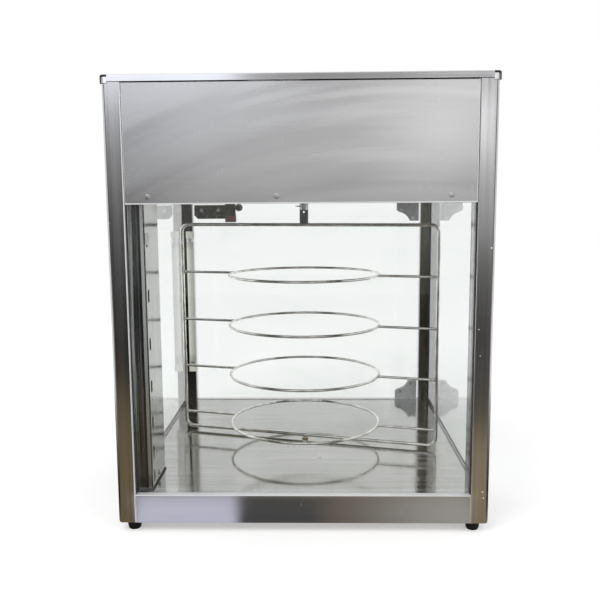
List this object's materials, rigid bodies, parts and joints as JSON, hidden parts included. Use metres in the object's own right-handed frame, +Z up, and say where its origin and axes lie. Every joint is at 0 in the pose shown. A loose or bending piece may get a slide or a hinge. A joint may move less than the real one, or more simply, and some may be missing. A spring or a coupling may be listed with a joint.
{
  "type": "pizza warmer",
  "caption": "Countertop pizza warmer: glass-sided steel cabinet with a motor-turned wire rack of pan rings, a hinged glass rear door, a hot-air duct, a tube lamp and rear controls.",
  "frame": {"origin": "on the table, at the centre of the footprint of the whole cabinet", "axes": "+Z up, -Y out of the front (serving) side, +X to the right seen from the front"},
  "size_m": [0.5764, 0.6442, 0.691],
  "materials": {
    "satin_steel": "satin, fine horizontal grain",
    "polished_steel": "near-mirror, fine grain",
    "trim_steel": "bright satin",
    "cap_plastic": "smooth, satin",
    "zinc_steel": "plain zinc-plated sheet",
    "rack_chrome": "bright plated wire",
    "bar_steel": "dark satin",
    "pane_glass": "clear toughened",
    "lamp_glass": "milky lamp tube",
    "black_rubber": "moulded",
    "gasket_rubber": "extruded",
    "black_plastic": "moulded, smooth",
    "cream_plastic": "moulded",
    "amber_plastic": "translucent amber",
    "brown_magnet": "moulded, magnet inside",
    "olive_steel": "dark satin",
    "hinge_steel": "satin",
    "bronze": "sintered bronze",
    "cast_alloy": "die cast",
    "motor_paint": "enamelled",
    "gear_steel": "cut steel",
    "heater_steel": "heat-tinted sheath"
  },
  "bodies": {
    "cabinet": {"air_duct": "zinc_steel", "base_rail_front": "satin_steel", "base_rail_rear": "satin_steel", "base_side_rails": "satin_steel", "blower_housing": "zinc_steel", "blower_motor": "motor_paint", "bottom_cover": "zinc_steel", "case_screws": "hinge_steel", "catch_bracket": "olive_steel", "ceiling_panel": "satin_steel", "cord_gland": "black_plastic", "feet": "black_rubber", "floor_pan": "polished_steel", "floor_pivot": "bronze", "front_fascia": "satin_steel", "front_glass": "pane_glass", "front_left_post": "satin_steel", "front_right_post": "satin_steel", "gearbox_case": "cast_alloy", "gearbox_cover": "cast_alloy", "gearmotor_bracket": "zinc_steel", "glass_gaskets": "gasket_rubber", "heater_box": "zinc_steel", "heater_element": "heater_steel", "hinge_bushes": "bronze", "indicator_lamp": "amber_plastic", "lamp_holders": "cream_plastic", "lamp_tube": "lamp_glass", "left_glass": "pane_glass", "magnet_catch": "brown_magnet", "motor_stator": "motor_paint", "rear_control_panel": "satin_steel", "rear_posts": "satin_steel", "right_glass": "pane_glass", "shaft_bush": "bronze", "side_header_panels": "satin_steel", "switch_bodies": "black_plastic", "thermostat_body": "cream_plastic", "top_corner_caps": "cap_plastic", "top_cover": "satin_steel", "top_rails": "trim_steel"},
    "door": {"door_glass": "pane_glass", "hinge_gussets": "hinge_steel", "door_screws": "hinge_steel", "door_knob": "black_plastic", "catch_plate": "olive_steel"},
    "rack": {"drive_gear": "gear_steel", "output_shaft": "gear_steel", "hanger_bar": "bar_steel", "hitch_pin": "hinge_steel", "rack_frame": "rack_chrome", "rack_ring_1": "rack_chrome", "rack_ring_2": "rack_chrome", "rack_ring_3": "rack_chrome", "rack_ring_4": "rack_chrome"},
    "motor_rotor": {"motor_rotor": "gear_steel"},
    "blower_wheel": {"blower_wheel": "cast_alloy"},
    "power_rocker": {"power_rocker": "black_plastic"},
    "lamp_rocker": {"lamp_rocker": "black_plastic"},
    "thermostat_knob": {"thermostat_knob": "black_plastic"}
  },
  "joints": [
    {"name": "door_hinge", "type": "hinge", "parent": "cabinet", "child": "door", "pos_m": [0.244, 0.2871, 0.2776], "axis": [0, 0, -1], "range_deg": [0, 105]},
    {"name": "rack_spin", "type": "hinge", "parent": "cabinet", "child": "rack", "pos_m": [0, -0.0099, 0.3], "axis": [0, 0, 1], "continuous": true},
    {"name": "pinion_spin", "type": "hinge", "parent": "cabinet", "child": "motor_rotor", "pos_m": [0.045, -0.0099, 0.56], "axis": [0, 0, 1], "continuous": true},
    {"name": "blower_spin", "type": "hinge", "parent": "cabinet", "child": "blower_wheel", "pos_m": [-0.062, -0.21, 0.563], "axis": [0, 1, 0], "continuous": true},
    {"name": "power_switch", "type": "hinge", "parent": "cabinet", "child": "power_rocker", "pos_m": [0.04, 0.297, 0.6], "axis": [1, 0, 0], "range_deg": [0, 14]},
    {"name": "lamp_switch", "type": "hinge", "parent": "cabinet", "child": "lamp_rocker", "pos_m": [0.084, 0.297, 0.6], "axis": [1, 0, 0], "range_deg": [0, 14]},
    {"name": "thermostat_turn", "type": "hinge", "parent": "cabinet", "child": "thermostat_knob", "pos_m": [0.15, 0.3, 0.6], "axis": [0, -1, 0], "range_deg": [0, 270]}
  ],
  "couplings": [
    {"joint": "pinion_spin", "follows": "rack_spin", "ratio": -4}
  ]
}
